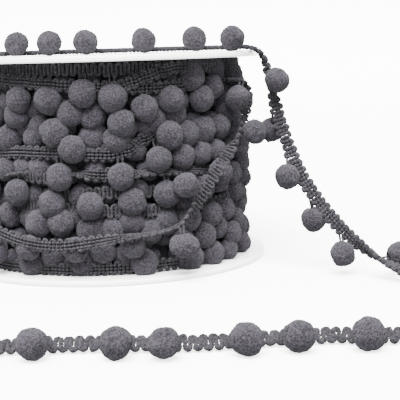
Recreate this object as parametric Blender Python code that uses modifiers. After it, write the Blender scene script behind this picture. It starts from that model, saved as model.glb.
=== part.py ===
"""Pompom fringe trim wound on a plain reel with two flanges.

The reel stands on its lower flange, with its axis on +Z and z = 0 on the table.
Angles round the reel are in degrees, from +X towards -Y, so 90 is the front.
Every length is in millimetres until MM turns it into metres.
"""

import bpy
import bmesh
from math import atan2, cos, degrees, floor, hypot, pi, radians, sin, sqrt
from mathutils import Vector

MM = 0.001
TINY_MERGE = 0.00001

# Reel
FLANGE_RADIUS = 70.0
FLANGE_THICKNESS = 2.4
FLANGE_ROUNDING = 0.7
LOWER_FACE_OF_TOP_FLANGE = 89.0
BORE_RADIUS = 8.0
CORE_RADIUS = 20.0
REEL_STEPS = 48
SEAT_GAP = 0.3
REEL_TOP = LOWER_FACE_OF_TOP_FLANGE + FLANGE_THICKNESS

# Trim: a flat braid with pompoms on two-legged stems along one edge
BRAID_WIDTH = 6.0
BRAID_THICKNESS = 1.6
POMPOM_RADIUS = 5.1
POMPOM_PITCH = 19.5
STEM_LENGTH = 3.2
STEM_WIDTH = 2.0
STEM_DEPTH = 1.0
REST_GAP = 0.3
STEM_OVERLAP = 0.8

# Winding: the outer surface of all the turns on the core
WINDING_STEPS = 240
WINDING_ROWS = 72
WINDING_KEPT_SHARE = 0.16
WINDING_INNER_RADIUS = CORE_RADIUS + 0.9
WINDING_BOTTOM = FLANGE_THICKNESS + SEAT_GAP
WINDING_TOP = LOWER_FACE_OF_TOP_FLANGE - SEAT_GAP
HOLLOW_RADIUS = 56.5
DEEPEST_DENT = 44.0
ROUNDED_END = 1.0
PRESS_CLEARANCE = 1.4
EDGE_ON_SHARE = 0.3

# Turns of braid that show: angle round the reel, height, outer radius, and how far the pompom edge
# is turned about the braid from straight down (90 is edge outward, 180 is edge up)
BRAID_TURNS = (
    (
        (-60, 86.0, 60.0, 180), (0, 85.8, 60.0, 180), (50, 86.0, 59.4, 180), (72, 85.8, 60.0, 180),
        (83, 85.6, 60.4, 180), (102, 86.0, 60.4, 180), (120, 86.2, 60.2, 180), (150, 86.2, 60.0, 180),
        (210, 86.2, 60.0, 180), (250, 86.0, 60.0, 180),
    ),
    (
        (-60, 81.5, 60.0, 0), (0, 80.5, 59.4, 0), (40, 78.5, 59.4, 0), (68, 77.9, 60.6, 0),
        (80, 77.9, 61.2, 0), (91, 79.0, 61.4, 0), (100, 79.9, 61.5, 0), (109, 80.7, 61.5, 0),
        (120, 81.6, 61.4, 0), (131, 82.4, 61.4, 0), (170, 82.0, 61.4, 0), (220, 80.5, 61.4, 0),
        (260, 81.5, 61.0, 0),
    ),
    (
        (-60, 85.2, 57.4, 0), (40, 85.4, 59.0, 0), (57, 85.5, 61.2, 0), (64, 84.6, 62.0, 0),
        (70, 82.6, 62.3, 0), (76, 80.4, 62.3, 0), (82, 78.4, 61.8, 0), (92, 76.4, 58.6, 0),
        (105, 75.0, 56.5, 0), (180, 78.0, 56.5, 0),
    ),
    (
        (-60, 52.5, 60.6, 0), (-20, 51.5, 59.6, 0), (30, 53.5, 58.2, 0), (48, 57.0, 56.8, 0),
        (62, 60.5, 56.8, 0), (71, 57.0, 58.6, 0), (78, 52.8, 60.2, 0), (85, 51.7, 60.6, 0),
        (93, 52.1, 60.8, 0), (104, 52.9, 61.4, 0), (122, 53.2, 61.4, 0), (133, 52.7, 61.4, 0),
        (180, 53.0, 61.2, 0), (230, 54.5, 61.2, 0), (260, 53.5, 61.2, 0),
    ),
    (
        (-60, 43.0, 60.8, 0), (0, 42.0, 60.4, 0), (40, 42.5, 60.4, 0), (50, 43.0, 60.6, 60),
        (70, 43.4, 60.6, 80), (80, 43.6, 60.6, 30), (87, 43.8, 61.0, 0), (92, 43.9, 61.0, 25),
        (97, 44.1, 60.6, 80), (104, 43.6, 60.6, 150), (111, 42.9, 61.0, 180), (117, 43.1, 61.0, 165),
        (125, 43.6, 60.6, 100), (134, 42.0, 60.4, 75), (150, 42.0, 60.8, 0), (220, 44.0, 61.0, 0),
    ),
    (
        (-60, 33.0, 58.0, 180), (20, 34.0, 58.0, 180), (76, 35.8, 59.0, 180), (84, 36.3, 60.2, 180),
        (94, 36.0, 60.0, 180), (101, 35.6, 58.8, 180), (110, 35.2, 57.6, 180), (180, 34.0, 58.0, 180),
    ),
    (
        (-50, 30.0, 60.4, 180), (0, 29.0, 60.4, 180), (53, 28.2, 60.6, 180), (70, 28.3, 60.8, 180),
        (86, 28.8, 60.6, 180), (94, 29.2, 58.6, 180), (120, 30.5, 57.8, 180), (170, 31.0, 60.4, 180),
        (220, 28.5, 60.8, 180), (260, 29.0, 60.8, 180),
    ),
    (
        (-40, 5.4, 60.4, 0), (30, 5.3, 60.4, 0), (63, 5.3, 60.6, 0), (86, 5.4, 60.6, 0),
        (108, 5.3, 60.6, 0), (150, 5.4, 60.4, 0), (200, 5.5, 60.4, 0), (260, 5.5, 60.4, 0),
    ),
)

# Rings of pompoms elsewhere: height, angle of the first, how many, how much they stray, centre radius
POMPOM_RINGS = (
    (82.5, 8.5, 16, 1.4, 58.6),
    (75.0, 83.0, 30, 1.8, 60.0),
    (67.2, 90.0, 30, 1.6, 59.2),
    (60.6, 93.5, 30, 1.3, 59.4),
    (47.2, 65.5, 24, 1.5, 59.6),
    (40.0, 81.5, 10, 2.0, 59.0),
    (35.6, 93.0, 24, 1.8, 60.2),
    (22.5, 94.0, 32, 2.0, 59.4),
    (13.0, 89.0, 20, 2.0, 59.2),
    (6.8, 97.5, 16, 0.8, 60.0),
)

# Pompoms of the winding that show in front: angle, height, centre radius
FRONT_FROM = -6.0
FRONT_TO = 136.0
FRONT_POMPOMS = (
    (32, 84.0, 60.6), (49, 81.5, 59.0), (10, 80.5, 59.1), (38, 77.0, 60.6), (94, 76.5, 60.8),
    (83, 74.5, 61.0), (121, 74.5, 60.6), (108, 74.0, 60.6), (60, 73.0, 61.0), (45, 72.5, 60.4),
    (71, 70.0, 60.8), (3, 69.5, 60.5), (100, 68.5, 58.6), (124, 68.0, 58.6), (91, 67.0, 56.4),
    (57, 66.5, 56.2), (66, 65.0, 56.0), (80, 64.5, 60.8), (106, 61.0, 60.6), (34, 60.0, 60.4),
    (43, 59.5, 58.8), (129, 58.5, 58.6), (23, 58.5, 59.1), (52, 58.5, 58.8), (117, 58.5, 55.8),
    (61, 58.5, 60.8), (92, 58.5, 55.6), (82, 57.5, 58.0), (99, 54.5, 61.4), (37, 50.0, 60.6),
    (45, 50.0, 58.6), (55, 49.0, 59.6), (66, 49.0, 61.0), (114, 47.0, 56.6), (122, 47.0, 56.6),
    (131, 46.0, 58.6), (17, 45.5, 61.3), (104, 43.5, 61.8), (81, 43.0, 61.8), (2, 41.5, 59.7),
    (124, 36.5, 60.6), (2, 35.0, 60.1), (63, 34.5, 60.6), (77, 32.5, 60.8), (108, 32.5, 60.8),
    (22, 32.0, 59.5), (93, 31.5, 60.8), (2, 28.0, 60.1), (132, 26.5, 57.0), (77, 24.0, 58.0),
    (105, 24.5, 60.0), (30, 24.0, 59.1), (41, 23.5, 60.0), (115, 23.5, 59.4), (63, 23.0, 58.8),
    (8, 22.0, 60.9), (94, 21.0, 58.0), (84, 21.0, 57.6), (70, 19.5, 58.0), (21, 18.5, 59.9),
    (45, 15.0, 59.6), (28, 13.5, 61.3), (89, 12.5, 57.6), (2, 12.5, 58.9), (110, 11.0, 57.6),
    (80, 10.0, 59.6), (73, 7.0, 60.6), (41, 7.0, 60.4), (53, 7.0, 60.6), (98, 7.0, 60.8),
    (30, 7.0, 60.5), (119, 7.0, 60.6), (2, 7.0, 58.3),
    (22, 80.0, 60.7), (-3, 79.5, 59.5), (14, 75.5, 61.3), (26, 72.5, 58.5), (15, 66.5, 60.3),
    (27, 65.5, 58.7), (5, 61.5, 60.7), (14, 56.5, 59.3), (-3, 53.5, 60.9), (27, 49.5, 58.7),
    (8, 49.0, 59.7), (-2, 46.0, 58.1), (25, 39.5, 60.7), (12, 38.0, 59.9), (35, 37.0, 59.8),
    (45, 35.5, 59.2), (12, 30.0, 60.5), (54, 32.5, 59.2), (13, 14.0, 58.9), (36, 17.0, 59.2),
    (56, 15.0, 59.0), (14, 7.0, 60.7), (53, 23.5, 59.8),
)

# The loose turn that sags in front: place, direction of its pompom edge
LOOSE_TURN = (
    ((-61.0, -5.0, 52.0), (-0.30, -0.60, -0.70)),
    ((-65.2, -12.0, 46.0), (-0.30, -0.60, -0.70)),
    ((-66.2, -22.0, 38.5), (-0.10, -0.40, -0.90)),
    ((-61.8, -34.0, 30.5), (0.10, -0.10, -1.00)),
    ((-52.5, -46.0, 25.0), (0.10, -0.05, -1.00)),
    ((-40.8, -56.3, 21.0), (0.08, -0.05, -1.00)),
    ((-29.8, -62.8, 17.8), (0.05, -0.05, -1.00)),
    ((-16.0, -67.6, 16.6), (0.00, -0.08, -1.00)),
    ((-1.0, -69.5, 18.2), (0.00, -0.40, -1.00)),
    ((13.6, -67.8, 19.6), (0.00, -0.90, -0.15)),
    ((24.6, -64.5, 20.3), (0.05, -1.00, 0.15)),
    ((32.6, -60.8, 22.6), (0.15, -1.00, 0.15)),
    ((38.2, -57.3, 28.0), (-0.30, -0.70, 0.60)),
    ((42.6, -54.2, 34.0), (-0.70, -0.45, 0.55)),
    ((46.9, -50.0, 41.0), (-0.80, -0.10, 0.55)),
    ((52.3, -43.7, 48.0), (-0.70, 0.20, 0.50)),
    ((57.0, -37.5, 55.0), (0.10, 0.95, 0.20)),
    ((60.4, -31.5, 62.0), (0.30, 0.95, 0.10)),
    ((61.9, -28.2, 68.4), (0.80, 0.50, 0.00)),
    ((62.5, -26.9, 73.0), (0.85, -0.50, 0.10)),
    ((61.0, -28.4, 77.3), (0.54, -0.84, 0.12)),
    ((57.2, -31.4, 79.3), (0.54, -0.84, 0.12)),
    ((52.6, -33.2, 79.6), (0.54, -0.84, 0.12)),
)
LOOSE_TURN_FIRST_POMPOM = 12.0
# Which way each pompom hangs from the braid's edge; with two numbers it lies on what is below it
LOOSE_TURN_AIMS = (
    (-0.27, 0.47, -0.84),
    (-0.21, 0.33, -0.92),
    (-0.21, 0.40, -0.89),
    (-0.30, 0.60, -0.74),
    (-0.61, 0.79, 0.00),
    (-0.57, 0.80, -0.17),
    (-0.15, 0.85, -0.50),
    (0.17, -0.30, -0.94),
    (-0.80, -0.58, 0.15),
    (-0.15, -0.10, -0.98),
    (0.41, -0.76, -0.51),
    (-0.25, -0.45, -0.86),
)

# The free end over the top flange, down to the table and back along the front
FREE_END = (
    ((-58.0, -20.0, 73.0), (0.00, -1.00, 0.00)),
    ((-63.5, -21.5, 76.0), (0.00, -1.00, 0.00)),
    ((-69.6, -22.0, 80.5), (0.00, -1.00, 0.00)),
    ((-71.6, -22.0, 86.0), (0.00, -1.00, 0.00)),
    ((-70.6, -22.0, 91.0), (0.00, -1.00, 0.00)),
    ((-66.5, -22.0, 93.6), (0.00, -1.00, 0.00)),
    ((-58.0, -22.0, 93.0), (0.00, -1.00, 0.00)),
    ((-43.0, -22.0, 92.8), (0.00, -1.00, 0.00)),
    ((-21.5, -22.5, 92.9), (0.00, -1.00, 0.00)),
    ((0.0, -23.0, 92.9), (0.00, -1.00, 0.00)),
    ((21.4, -24.0, 93.0), (0.00, -1.00, 0.00)),
    ((42.8, -26.0, 93.0), (0.00, -1.00, 0.00)),
    ((57.6, -27.5, 93.0), (0.00, -1.00, 0.00)),
    ((63.4, -28.0, 92.8), (0.00, -1.00, 0.00)),
    ((67.4, -28.0, 91.2), (0.10, -1.00, 0.00)),
    ((69.6, -28.0, 88.0), (0.30, -0.95, 0.00)),
    ((70.9, -28.2, 83.6), (0.50, -0.85, 0.00)),
    ((72.2, -29.0, 78.6), (0.10, -0.95, 0.00)),
    ((73.6, -31.0, 70.4), (-0.80, -0.40, -0.20)),
    ((75.4, -33.0, 63.0), (-0.80, 0.20, -0.20)),
    ((77.8, -35.6, 54.5), (-0.95, 0.20, -0.20)),
    ((80.9, -38.5, 45.4), (-0.95, 0.00, -0.30)),
    ((85.8, -43.0, 35.7), (-0.90, 0.00, -0.40)),
    ((91.2, -47.5, 27.4), (-0.85, 0.05, -0.50)),
    ((97.0, -52.6, 20.0), (-0.70, 0.20, -0.65)),
    ((103.2, -58.3, 14.0), (-0.50, 0.55, -0.60)),
    ((109.2, -64.6, 9.8), (-0.15, 0.80, -0.35)),
    ((114.9, -71.4, 6.6), (0.25, 0.80, 0.10)),
    ((121.5, -77.5, 4.0), (0.45, 0.75, 0.30)),
    ((132.0, -84.5, 2.2), (0.60, 0.70, 0.20)),
    ((143.5, -94.0, 1.8), (0.80, 0.55, 0.10)),
    ((151.0, -107.0, 1.7), (1.00, 0.20, 0.10)),
    ((152.0, -123.0, 1.7), (1.00, -0.15, 0.10)),
    ((146.0, -139.5, 1.7), (0.85, -0.50, 0.10)),
    ((133.0, -151.5, 2.1), (0.60, -0.80, -0.10)),
    ((118.0, -159.8, 2.7), (0.20, -0.85, -0.45)),
    ((102.6, -163.2, 2.8), (0.03, -0.80, -0.60)),
    ((80.9, -161.0, 2.8), (0.00, -0.80, -0.60)),
    ((62.5, -162.2, 2.8), (0.00, -0.80, -0.60)),
    ((44.0, -165.1, 2.8), (0.00, -0.80, -0.60)),
    ((20.9, -164.7, 2.8), (0.00, -0.80, -0.60)),
    ((0.3, -163.3, 2.8), (0.00, -0.80, -0.60)),
    ((-23.2, -163.7, 2.8), (0.00, -0.80, -0.60)),
    ((-36.0, -163.9, 2.8), (0.00, -0.80, -0.60)),
)
FREE_END_FIRST_POMPOM = 17.9
FREE_END_AIMS = (
    (0.00, -0.83, -0.55),
    (0.00, -1.00),
    (0.72, -0.69),
    (0.00, -1.00),
    (-0.60, -0.80),
    (0.09, -1.00),
    (0.35, -0.94),
    (-0.15, -0.99),
    (0.30, -0.78, -0.55),
    (-0.05, 0.66, -0.75),
    (-0.08, -0.59, -0.80),
    (0.12, -0.06, -0.99),
    (0.00, -0.58, -0.81),
    (0.94, 0.25, 0.20),
    (0.57, 0.82),
    (0.86, 0.50),
    (0.95, 0.32),
    (0.92, -0.38),
    (0.83, -0.56),
    (0.30, -0.95),
    (0.20, -0.98),
    (0.36, -0.93),
    (0.04, -0.99),
    (0.44, -0.89),
    (-0.29, -0.96),
    (0.37, -0.93),
    (-0.52, -0.85),
    (-0.16, -0.98),
)

STRAND_SUBSTEPS = 2
FINE_SUBSTEPS = 12


def scatter(seed):
    """A number from -1 to 1 that strays like chance but is the same on every run."""
    value = sin(seed * 12.9898) * 43758.5453
    return 2.0 * (value - floor(value)) - 1.0


def lerp(a, b, share):
    return a + (b - a) * share


def smooth_run(rows, substeps):
    """Stations (place, direction of travel, pompom edge) on a smooth curve through the rows."""
    places = [Vector(row[0]) for row in rows]
    last = len(places) - 1
    headings = []
    for i in range(last + 1):
        ahead = places[min(i + 1, last)] - places[max(i - 1, 0)]
        headings.append(ahead.normalized())
    stations = []
    for i in range(last):
        span = (places[i + 1] - places[i]).length
        steps = substeps + 1 if i == last - 1 else substeps
        for step in range(steps):
            u = step / substeps
            out, back = 2 * u**3 - 3 * u**2 + 1, -2 * u**3 + 3 * u**2
            push, pull = u**3 - 2 * u**2 + u, u**3 - u**2
            place = out * places[i] + back * places[i + 1]
            place += span * (push * headings[i] + pull * headings[i + 1])
            travel = (6 * u**2 - 6 * u) / max(span, 0.001) * (places[i] - places[i + 1])
            travel += (3 * u**2 - 4 * u + 1) * headings[i] + (3 * u**2 - 2 * u) * headings[i + 1]
            travel.normalize()
            edge = Vector(rows[i][1]).lerp(Vector(rows[i + 1][1]), u)
            edge -= edge.dot(travel) * travel
            stations.append((place, travel, edge.normalized()))
    return stations


def at_length(stations, wanted):
    """The station this far along the run."""
    gone = 0.0
    for first, second in zip(stations, stations[1:]):
        step = (second[0] - first[0]).length
        if gone + step >= wanted:
            share = (wanted - gone) / step
            return tuple(a.lerp(b, share) for a, b in zip(first, second))
        gone += step
    return stations[-1]


def resting_height(place):
    """The height of whatever lies under a place: the top flange, or the table."""
    over_flange = place.z > LOWER_FACE_OF_TOP_FLANGE and hypot(place.x, place.y) < FLANGE_RADIUS
    return REEL_TOP if over_flange else 0.0


def hung_pompoms(rows, first, aims):
    """The root of each stem on the braid's edge, and the centre of its pompom."""
    stations = smooth_run(rows, FINE_SUBSTEPS)
    reach = STEM_LENGTH + POMPOM_RADIUS
    hung = []
    for k, aim in enumerate(aims):
        place, _, edge = at_length(stations, first + k * POMPOM_PITCH)
        root = place + edge * (BRAID_WIDTH / 2 - STEM_OVERLAP)
        away = Vector(aim).to_3d().normalized() * reach
        if len(aim) == 2:
            rise = resting_height(place) + POMPOM_RADIUS + REST_GAP - root.z
            away *= sqrt(reach**2 - rise**2) / reach
            away.z = rise
        hung.append((root, root + away))
    return hung


def new_material(name, colour, roughness):
    material = bpy.data.materials.new(name)
    material.use_nodes = True
    shader = material.node_tree.nodes["Principled BSDF"]
    shader.inputs["Base Color"].default_value = (*colour, 1.0)
    shader.inputs["Roughness"].default_value = roughness
    shader.inputs["Metallic"].default_value = 0.0
    return material


def new_object(name, bm, collection, material=None):
    mesh = bpy.data.meshes.new(name)
    bm.to_mesh(mesh)
    bm.free()
    if material:
        mesh.materials.append(material)
    obj = bpy.data.objects.new(name, mesh)
    collection.objects.link(obj)
    return obj


def turned(name, profile, collection, material):
    """A closed profile of (radius, height) points, turned round the Z axis."""
    bm = bmesh.new()
    ring = [bm.verts.new((radius * MM, 0.0, height * MM)) for radius, height in profile]
    for a, b in zip(ring, ring[1:] + ring[:1]):
        bm.edges.new((a, b))
    obj = new_object(name, bm, collection, material)
    screw = obj.modifiers.new("turn", "SCREW")
    screw.axis = "Z"
    screw.angle = 2.0 * pi
    screw.steps = REEL_STEPS
    screw.render_steps = REEL_STEPS
    screw.use_merge_vertices = True
    screw.merge_threshold = TINY_MERGE
    screw.use_smooth_shade = True
    return obj


def flange(name, bottom, collection, material):
    """A flat disc with a centre hole and both rim edges eased."""
    top = bottom + FLANGE_THICKNESS
    inside_rim = FLANGE_RADIUS - FLANGE_ROUNDING
    profile = (
        (BORE_RADIUS, top),
        (inside_rim, top),
        (FLANGE_RADIUS, top - FLANGE_ROUNDING),
        (FLANGE_RADIUS, bottom + FLANGE_ROUNDING),
        (inside_rim, bottom),
        (BORE_RADIUS, bottom),
    )
    return turned(name, profile, collection, material)


def core(collection, material):
    """The tube that joins the flanges, with the spindle's bore through it."""
    profile = (
        (BORE_RADIUS, WINDING_TOP),
        (CORE_RADIUS, WINDING_TOP),
        (CORE_RADIUS, WINDING_BOTTOM),
        (BORE_RADIUS, WINDING_BOTTOM),
    )
    return turned("reel_core", profile, collection, material)


def round_place(angle, radius, height):
    return Vector((radius * cos(radians(angle)), -radius * sin(radians(angle)), height))


def angle_apart(a, b):
    return abs((a - b + 180.0) % 360.0 - 180.0)


def winding_pompoms():
    """(angle, height, centre radius, pompom radius) of every pompom on the winding."""
    placed = [(*row, POMPOM_RADIUS) for row in FRONT_POMPOMS]
    for ring, (height, first, count, stray, radius) in enumerate(POMPOM_RINGS):
        for k in range(count):
            seed = ring * 53 + k
            angle = first + k * 360.0 / count + 2.2 * scatter(seed)
            if FRONT_FROM < (angle - FRONT_FROM) % 360.0 + FRONT_FROM < FRONT_TO:
                continue
            up = height + stray * scatter(seed + 0.37)
            out = radius + 0.8 * scatter(seed + 0.71)
            size = POMPOM_RADIUS * (1.0 + 0.05 * scatter(seed + 0.13))
            placed.append((angle, up, out, size))
    return placed


def turn_at(turn, angle):
    """Height, outer radius and roll of a turn of braid at an angle, eased between its rows."""
    closed = turn + ((turn[0][0] + 360.0, *turn[0][1:]),)
    here = (angle - turn[0][0]) % 360.0 + turn[0][0]
    for first, second in zip(closed, closed[1:]):
        if here <= second[0]:
            share = (here - first[0]) / (second[0] - first[0])
            eased = share * share * (3.0 - 2.0 * share)
            return [lerp(a, b, eased) for a, b in zip(first[1:], second[1:])]
    return turn[0][1:]


def winding_radius(angle, height, turns, pompoms, pressing):
    """How far out the winding reaches: hollows, braid turns and pompoms, dented by loose strands."""
    reach = HOLLOW_RADIUS
    for middle, radius, roll in turns:
        if abs(height - middle) < BRAID_WIDTH / 2 * max(abs(cos(radians(roll))), EDGE_ON_SHARE):
            stands_out = (BRAID_WIDTH - BRAID_THICKNESS) / 2 * abs(sin(radians(roll)))
            reach = max(reach, radius + stands_out)
    for pompom_angle, pompom_height, out, size in pompoms:
        up = height - pompom_height
        across = out * radians(angle_apart(angle, pompom_angle))
        off = across**2 + up**2
        if off < size**2:
            reach = max(reach, out + sqrt(size**2 - off))
    for pompom_angle, pompom_height, out, size in pressing:
        up = height - pompom_height
        across = out * radians(angle_apart(angle, pompom_angle))
        off = across**2 + up**2
        if off < size**2:
            reach = min(reach, out - sqrt(size**2 - off))
    return max(reach, DEEPEST_DENT)


def pressing_strands():
    """The loose strands near the winding, as balls that it gives way to."""
    balls = []
    for rows, first, aims in (
        (LOOSE_TURN, LOOSE_TURN_FIRST_POMPOM, LOOSE_TURN_AIMS),
        (FREE_END[:5], FREE_END_FIRST_POMPOM, FREE_END_AIMS[:1]),
    ):
        for place, _, edge in smooth_run(rows, 3):
            for share in (-0.3, 0.0, 0.3):
                balls.append((place + edge * share * BRAID_WIDTH, BRAID_WIDTH * 0.25))
        for root, centre in hung_pompoms(rows, first, aims):
            balls.append((root.lerp(centre, 0.25), STEM_WIDTH / 2))
            balls.append((centre, POMPOM_RADIUS))
    pressing = []
    for place, size in balls:
        angle = degrees(atan2(-place.y, place.x))
        out = hypot(place.x, place.y)
        pressing.append((angle, place.z, out, size + PRESS_CLEARANCE))
    return pressing


def level_with(height, balls):
    """The balls that reach this height."""
    return [ball for ball in balls if abs(ball[1] - height) < ball[3]]


def wound_trim(collection, material):
    """One body: a ring of many turns whose outside is lumpy with braid and pompoms."""
    section = WINDING_ROWS + 3
    bpy.ops.mesh.primitive_torus_add(
        major_segments=WINDING_STEPS,
        minor_segments=section,
        major_radius=WINDING_INNER_RADIUS * 2 * MM,
        minor_radius=WINDING_INNER_RADIUS * MM,
    )
    obj = bpy.context.object
    obj.name = "wound_trim"
    obj.data.name = "wound_trim"
    pompoms = winding_pompoms()
    pressing = pressing_strands()
    turns = []
    for turn in range(WINDING_STEPS):
        angle = turn * 360.0 / WINDING_STEPS
        turns.append([turn_at(rows, angle) for rows in BRAID_TURNS])
    vertices = obj.data.vertices
    for step in range(section):
        height = lerp(WINDING_BOTTOM, WINDING_TOP, min(step / WINDING_ROWS, 1.0))
        if step == WINDING_ROWS + 2:
            height = WINDING_BOTTOM
        level = min(max(height, WINDING_BOTTOM + ROUNDED_END), WINDING_TOP - ROUNDED_END)
        near = level_with(level, pompoms)
        pressed = level_with(level, pressing)
        for turn in range(WINDING_STEPS):
            angle = turn * 360.0 / WINDING_STEPS
            radius = WINDING_INNER_RADIUS
            if step <= WINDING_ROWS:
                radius = winding_radius(angle, level, turns[turn], near, pressed)
            vertices[turn * section + step].co = round_place(angle, radius, height) * MM
    bm = bmesh.new()
    bm.from_mesh(obj.data)
    bmesh.ops.recalc_face_normals(bm, faces=bm.faces)
    bmesh.ops.triangulate(bm, faces=bm.faces)
    bm.to_mesh(obj.data)
    bm.free()
    fewer = obj.modifiers.new("fewer_faces", "DECIMATE")
    fewer.ratio = WINDING_KEPT_SHARE
    obj.data.materials.append(material)
    for owner in list(obj.users_collection):
        owner.objects.unlink(obj)
    collection.objects.link(obj)
    return obj


def strip_of_braid(name, rows, collection, material):
    """The flat braid of a strand: an open ribbon along the run, given its thickness."""
    bm = bmesh.new()
    rungs = []
    for place, _, edge in smooth_run(rows, STRAND_SUBSTEPS):
        half = edge * (BRAID_WIDTH / 2)
        rungs.append((bm.verts.new((place - half) * MM), bm.verts.new((place + half) * MM)))
    for (a, b), (c, d) in zip(rungs, rungs[1:]):
        bm.faces.new((a, b, d, c))
    obj = new_object(name, bm, collection, material)
    thick = obj.modifiers.new("thickness", "SOLIDIFY")
    thick.thickness = BRAID_THICKNESS * MM
    thick.offset = 0.0
    thick.use_even_offset = False
    return obj


def join_by_union(obj, tool, name):
    tool.hide_render = True
    tool.display_type = "WIRE"
    union = obj.modifiers.new(name, "BOOLEAN")
    union.operation = "UNION"
    union.solver = "EXACT"
    union.object = tool


def strand(name, rows, first, aims, parts, cutters, material):
    """A loose length of trim: braid, stems and pompoms fused into one body."""
    obj = strip_of_braid(name, rows, parts, material)
    stems = bmesh.new()
    balls = bmesh.new()
    for root, centre in hung_pompoms(rows, first, aims):
        aim = centre - root
        turn = aim.to_track_quat("Z", "Y").to_matrix().to_4x4()
        length = aim.length - POMPOM_RADIUS * 0.6
        made = bmesh.ops.create_cube(stems, size=1.0)["verts"]
        bmesh.ops.scale(stems, verts=made, vec=Vector((STEM_WIDTH, STEM_DEPTH, length)) * MM)
        bmesh.ops.translate(stems, verts=made, vec=(0.0, 0.0, length * MM / 2))
        bmesh.ops.transform(stems, verts=made, matrix=turn)
        bmesh.ops.translate(stems, verts=made, vec=root * MM)
        made = bmesh.ops.create_icosphere(balls, subdivisions=2, radius=POMPOM_RADIUS * MM)["verts"]
        bmesh.ops.transform(balls, verts=made, matrix=turn)
        bmesh.ops.translate(balls, verts=made, vec=centre * MM)
    join_by_union(obj, new_object(name + "_stems", stems, cutters), "stems")
    join_by_union(obj, new_object(name + "_pompoms", balls, cutters), "pompoms")
    return obj


def build():
    for old in list(bpy.data.objects):
        bpy.data.objects.remove(old, do_unlink=True)
    parts = bpy.data.collections.new("pompom_fringe_trim")
    cutters = bpy.data.collections.new("joined_shapes")
    cutters.hide_render = True
    bpy.context.scene.collection.children.link(parts)
    bpy.context.scene.collection.children.link(cutters)
    white = new_material("white_plastic", (0.86, 0.86, 0.85), 0.35)
    yarn = new_material("grey_yarn", (0.16, 0.15, 0.17), 0.95)
    flange("reel_lower_flange", 0.0, parts, white)
    core(parts, white)
    flange("reel_upper_flange", LOWER_FACE_OF_TOP_FLANGE, parts, white)
    wound_trim(parts, yarn)
    strand("loose_turn", LOOSE_TURN, LOOSE_TURN_FIRST_POMPOM, LOOSE_TURN_AIMS, parts, cutters, yarn)
    strand("free_end", FREE_END, FREE_END_FIRST_POMPOM, FREE_END_AIMS, parts, cutters, yarn)


build()
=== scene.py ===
"""Looks of a pompom fringe trim wound on a plain white reel.

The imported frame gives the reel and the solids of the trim. Every length here is in metres, and
angles round the reel are in degrees, from +X towards -Y, so 90 is the front.
"""

from bisect import bisect_right
from math import atan2, cos, degrees, floor, hypot, pi, radians, sin, sqrt

import bpy
from mathutils import Matrix, Vector


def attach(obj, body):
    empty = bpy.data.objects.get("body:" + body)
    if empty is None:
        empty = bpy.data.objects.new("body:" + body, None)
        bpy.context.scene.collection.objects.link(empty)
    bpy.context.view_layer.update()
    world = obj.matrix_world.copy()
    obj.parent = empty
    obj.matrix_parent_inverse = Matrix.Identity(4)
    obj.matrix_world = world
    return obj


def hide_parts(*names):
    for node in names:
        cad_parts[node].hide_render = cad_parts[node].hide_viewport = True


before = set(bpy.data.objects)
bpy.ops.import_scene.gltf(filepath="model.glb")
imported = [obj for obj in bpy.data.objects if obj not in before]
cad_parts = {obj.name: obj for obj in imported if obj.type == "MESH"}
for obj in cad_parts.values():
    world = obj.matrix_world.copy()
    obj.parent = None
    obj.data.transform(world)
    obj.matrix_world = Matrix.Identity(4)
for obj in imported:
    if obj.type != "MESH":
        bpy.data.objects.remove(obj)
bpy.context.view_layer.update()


# ---- Camera and table -------------------------------------------------------------------------
# The camera stands just above the reel's top and is turned a little on its own axis. The table is
# a wide white round whose rim curves up, so that no horizon shows from any side. It is lit through
# from below, as a product table is, and that light is kept off the object.

CAMERA_PLACE = Vector((0.04099, -0.49695, 0.09461))
# In radians
CAMERA_DOWN = 0.141
CAMERA_ROLL = -0.0276
# In millimetres
LENS = 98.7
SENSOR_WIDTH = 36.0

aim = Vector((0.0, cos(CAMERA_DOWN), -sin(CAMERA_DOWN)))
level = Vector((1.0, 0.0, 0.0))
above = level.cross(aim)
across = level * cos(CAMERA_ROLL) + above * sin(CAMERA_ROLL)
upright = above * cos(CAMERA_ROLL) - level * sin(CAMERA_ROLL)
camera = bpy.data.objects.new("camera", bpy.data.cameras.new("camera"))
camera.data.lens = LENS
camera.data.sensor_width = SENSOR_WIDTH
facing = Matrix((across, upright, -aim)).transposed().to_4x4()
camera.matrix_world = Matrix.Translation(CAMERA_PLACE) @ facing
bpy.context.scene.collection.objects.link(camera)
bpy.context.scene.camera = camera

TABLE_RADIUS = 1.3
TABLE_SIDES = 96
TABLE_SWEEP = 0.3
TABLE_SWEEP_STEPS = 10
TABLE_GLOW = 3.0
TABLE_GLOW_COLOUR = (1.0, 0.99, 0.96, 1.0)
TABLE_DULLER = (0.88, 0.88, 0.87, 1.0)
TABLE_PALER = (0.91, 0.91, 0.90, 1.0)
TABLE_SMUDGE = 0.25


def deselect_all():
    """Clears the selection, which the next operator would otherwise work on too."""
    for chosen in list(bpy.context.selected_objects):
        chosen.select_set(False)


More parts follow.
